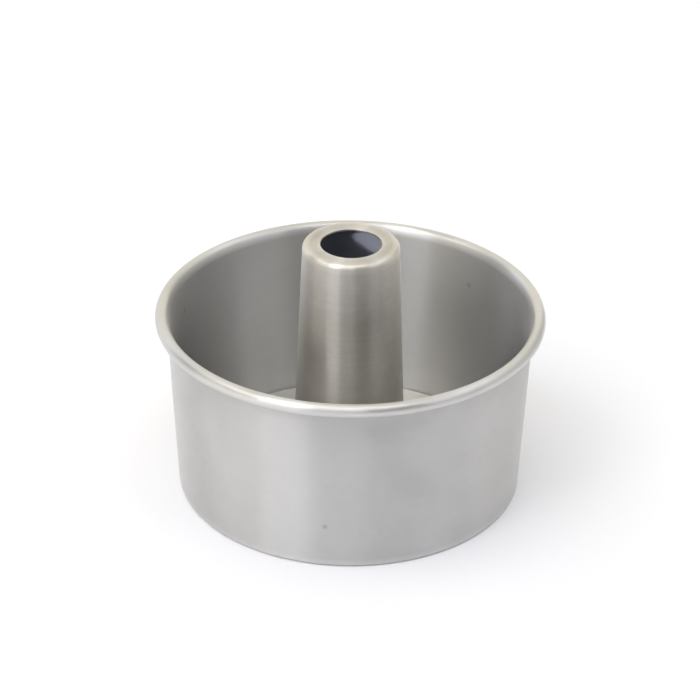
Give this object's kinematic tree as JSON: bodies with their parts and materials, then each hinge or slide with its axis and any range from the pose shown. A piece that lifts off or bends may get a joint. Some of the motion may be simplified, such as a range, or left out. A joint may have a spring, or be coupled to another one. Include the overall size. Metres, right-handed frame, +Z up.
{
  "type": "angel food cake pan",
  "caption": "Deep round tube pan with a flared side wall, rolled rim and inward ledge, a loose flat base plate on the ledge, and a tapered hollow centre tube that stands above the rim.",
  "frame": {"origin": "on the table under the centre of the tube, at the underside of the ring's ledge", "axes": "+Z up along the tube, towards its mouth; +X and +Y are alike, because the pan is round"},
  "size_m": [0.1916, 0.1916, 0.1305],
  "materials": {
    "ring_sheet": "satin clear anodised",
    "plate_sheet": "satin clear anodised",
    "tube_sheet": "satin clear anodised"
  },
  "bodies": {
    "ring": {"ring": "ring_sheet"},
    "core": {"base_plate": "plate_sheet", "centre_tube": "tube_sheet"}
  },
  "joints": [
    {"name": "core_lift", "type": "slide", "parent": "ring", "child": "core", "axis": [0, 0, 1], "range_m": [0, 0.11]}
  ]
}
